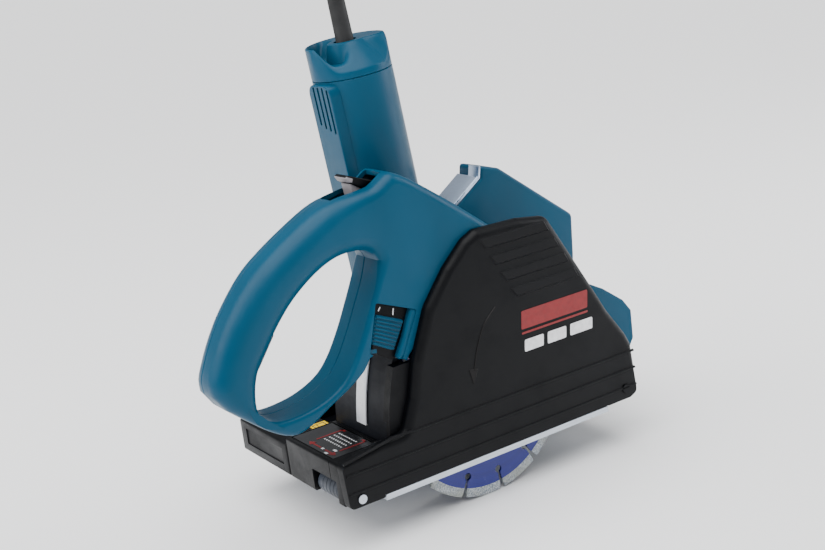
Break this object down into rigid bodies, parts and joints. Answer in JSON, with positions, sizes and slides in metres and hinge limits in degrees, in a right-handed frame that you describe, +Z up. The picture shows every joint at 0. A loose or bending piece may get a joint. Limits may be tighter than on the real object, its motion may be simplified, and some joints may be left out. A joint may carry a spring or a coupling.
{
  "type": "wall chaser",
  "caption": "Hand-held wall chaser: twin slotted cutting discs plunge through a roller base under a side guard, driven by an upright motor behind a D-shaped handle.",
  "frame": {"origin": "on the sole's flat underside, straight below the disc axis and beside the disc slot", "axes": "+Z up out of the wall surface being cut, +X towards the front (pivot) end, +Y towards the motor side"},
  "size_m": [0.387, 0.3192, 0.464],
  "materials": {
    "teal_plastic": "fine moulded grain, satin",
    "black_plastic": "fine moulded grain",
    "grey_plastic": "satin",
    "rubber": "matt",
    "steel": "machined",
    "rolled_aluminium": "rolled sheet",
    "cast_aluminium": "cast, bead blasted",
    "laminated_iron": "varnished laminations",
    "blade_paint": "painted core, grey segments",
    "copper": "machined",
    "label": "printed film",
    "scale_enamel": "enamelled"
  },
  "bodies": {
    "base": {"base_frame": "black_plastic", "sole_plate": "rolled_aluminium", "side_cover": "black_plastic", "guard_rear_wall": "grey_plastic", "guard_rear_block": "black_plastic", "depth_scale_strip": "scale_enamel", "depth_stop_screw": "black_plastic", "label_plate": "label", "cover_screw_rear": "steel", "cover_screw_front": "steel", "rear_roller_axle": "steel", "front_roller_axle": "steel", "pivot_pin": "steel", "return_spring": "steel", "cord_coil": "rubber", "plug_body": "rubber", "plug_pin_left": "steel", "plug_pin_right": "steel"},
    "machine": {"handle_near_shell": "teal_plastic", "handle_far_shell": "teal_plastic", "handle_screw_1": "steel", "handle_screw_2": "steel", "front_hinge_block": "cast_aluminium", "guard_hood": "teal_plastic", "hood_strap": "steel", "dust_outlet": "black_plastic", "gear_case": "cast_aluminium", "bearing_flange": "cast_aluminium", "spindle_bearing": "steel", "motor_housing": "teal_plastic", "motor_end_cap": "teal_plastic", "cord_strain_relief": "rubber", "mains_cord": "rubber", "stator": "laminated_iron", "armature_bearing_lower": "steel", "armature_bearing_upper": "steel", "brush_near": "copper", "brush_far": "copper", "switch_body": "grey_plastic", "slider_guide": "black_plastic"},
    "spindle": {"spindle": "steel", "crown_gear": "steel", "inner_flange": "steel", "cutting_disc_near": "blade_paint", "cutting_disc_far": "blade_paint", "spacer_ring": "steel", "clamping_nut": "steel"},
    "armature": {"armature_shaft": "steel", "armature_core": "laminated_iron", "commutator": "copper", "cooling_fan": "black_plastic", "drive_pinion": "steel"},
    "trigger": {"trigger": "black_plastic"},
    "release_lever": {"release_lever": "grey_plastic"},
    "depth_slider": {"depth_slider": "teal_plastic"},
    "spindle_lock": {"spindle_lock_button": "black_plastic"},
    "roller_rear_near": {"roller_rear_near": "rubber"},
    "roller_rear_far": {"roller_rear_far": "rubber"},
    "roller_front_near": {"roller_front_near": "rubber"},
    "roller_front_far": {"roller_front_far": "rubber"}
  },
  "joints": [
    {"name": "plunge", "type": "hinge", "parent": "base", "child": "machine", "pos_m": [0.126, -0.073, 0.0215], "axis": [0, 1, 0], "range_deg": [0, 17], "deforming": ["mains_cord"]},
    {"name": "spindle_spin", "type": "hinge", "parent": "machine", "child": "spindle", "pos_m": [0, -0.091, 0.0415], "axis": [0, 1, 0], "continuous": true},
    {"name": "armature_spin", "type": "hinge", "parent": "machine", "child": "armature", "pos_m": [-0.002, -0.008, 0.0624], "axis": [-0.0952, 0, 0.9955], "continuous": true},
    {"name": "trigger_press", "type": "hinge", "parent": "machine", "child": "trigger", "pos_m": [-0.15577, -0.073, 0.13995], "axis": [0, 1, 0], "range_deg": [0, 8], "stiffness_Nm_per_rad": 0.4},
    {"name": "lever_release", "type": "hinge", "parent": "machine", "child": "release_lever", "pos_m": [-0.059, -0.073, 0.2105], "axis": [0, -1, 0], "range_deg": [0, 12], "stiffness_Nm_per_rad": 0.3},
    {"name": "depth_slide", "type": "slide", "parent": "machine", "child": "depth_slider", "axis": [-0.3099, 0, -0.9508], "range_m": [0, 0.005]},
    {"name": "lock_push", "type": "slide", "parent": "machine", "child": "spindle_lock", "axis": [0, -1, 0], "range_m": [0, 0.004], "stiffness_N_per_m": 200},
    {"name": "roller_rear_near_spin", "type": "hinge", "parent": "base", "child": "roller_rear_near", "pos_m": [-0.118, -0.0715, 0.0085], "axis": [0, 1, 0], "continuous": true},
    {"name": "roller_rear_far_spin", "type": "hinge", "parent": "base", "child": "roller_rear_far", "pos_m": [-0.118, 0.0415, 0.0085], "axis": [0, 1, 0], "continuous": true},
    {"name": "roller_front_near_spin", "type": "hinge", "parent": "base", "child": "roller_front_near", "pos_m": [0.112, -0.017, 0.0085], "axis": [0, 1, 0], "continuous": true},
    {"name": "roller_front_far_spin", "type": "hinge", "parent": "base", "child": "roller_front_far", "pos_m": [0.112, 0.0415, 0.0085], "axis": [0, 1, 0], "continuous": true}
  ],
  "couplings": [
    {"joint": "armature_spin", "follows": "spindle_spin", "ratio": 3.0833}
  ]
}
